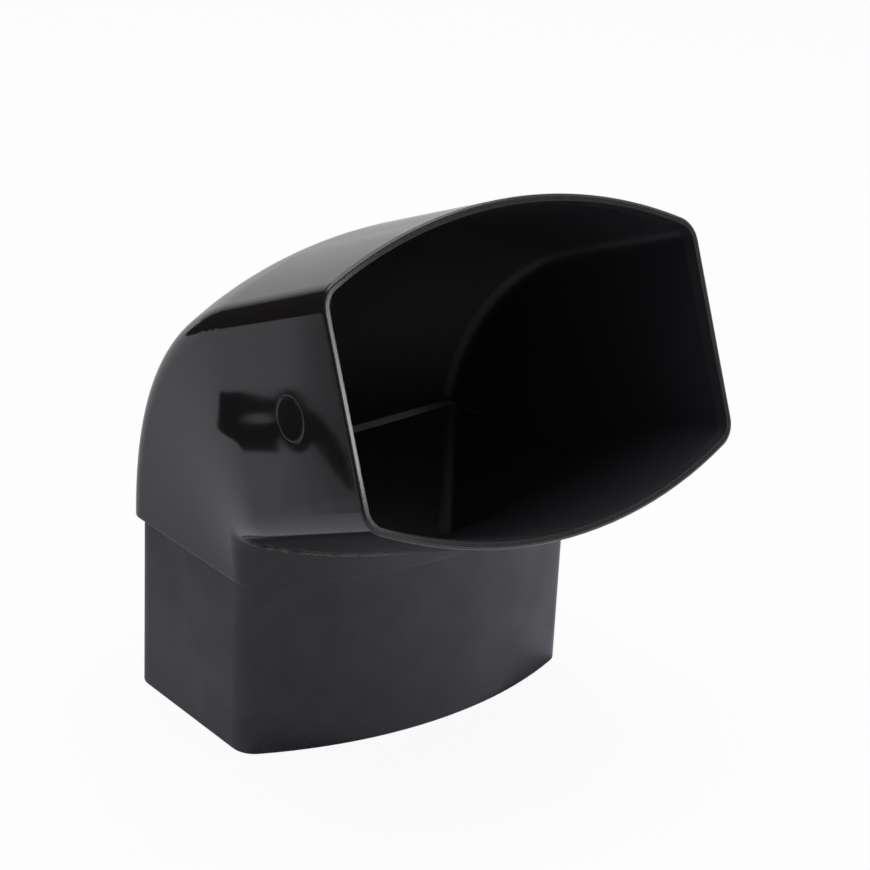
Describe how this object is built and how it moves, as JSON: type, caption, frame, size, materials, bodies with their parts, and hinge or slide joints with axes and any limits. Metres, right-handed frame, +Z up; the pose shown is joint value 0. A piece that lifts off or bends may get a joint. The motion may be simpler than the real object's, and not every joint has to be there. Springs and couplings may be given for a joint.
{
  "type": "downpipe bend",
  "caption": "One-piece moulded downpipe bend with a bowed rectangular section: spigot down, socket facing forward and up.",
  "frame": {"origin": "middle of the spigot's foot, on the spigot's axis", "axes": "+Z up along the spigot's axis, -Y to the front where the socket faces, X across the wide bowed sides"},
  "size_m": [0.1142, 0.1264, 0.147],
  "materials": {
    "downpipe_bend": "gloss black elbow and socket, fine matte texture on the spigot below the shoulder"
  },
  "bodies": {
    "root": {"downpipe_bend": "downpipe_bend"}
  },
  "joints": []
}
